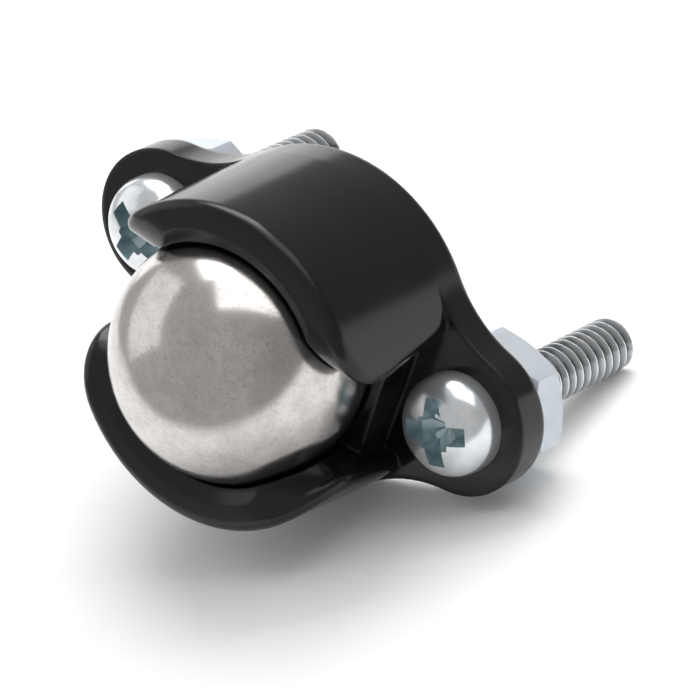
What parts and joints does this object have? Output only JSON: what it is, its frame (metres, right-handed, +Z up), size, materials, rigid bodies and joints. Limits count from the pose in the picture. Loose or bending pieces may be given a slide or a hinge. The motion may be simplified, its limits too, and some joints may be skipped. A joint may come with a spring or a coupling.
{
  "type": "ball castor",
  "caption": "Small ball castor: a polished steel ball held between the arms of a black moulded housing, fixed through its flange ears with pan-head screws and hex nuts.",
  "frame": {"origin": "the ball's contact point with the floor, under the middle of the flange", "axes": "+Z up through the ball centre, along the screws towards the surface the castor is fixed under; +X along the line of the two screws, towards the right one"},
  "size_m": [0.0266, 0.017, 0.0254],
  "materials": {
    "black_plastic": "gloss",
    "polished_steel": "polished",
    "zinc_screw": "satin",
    "zinc_nut": "satin"
  },
  "bodies": {
    "housing": {"housing": "black_plastic", "left_screw": "zinc_screw", "right_screw": "zinc_screw", "left_nut": "zinc_nut", "right_nut": "zinc_nut"},
    "ball": {"ball": "polished_steel"}
  },
  "joints": [
    {"name": "ball_roll", "type": "hinge", "parent": "housing", "child": "ball", "pos_m": [0, 0, 0.00635], "axis": [1, 0, 0], "continuous": true}
  ]
}
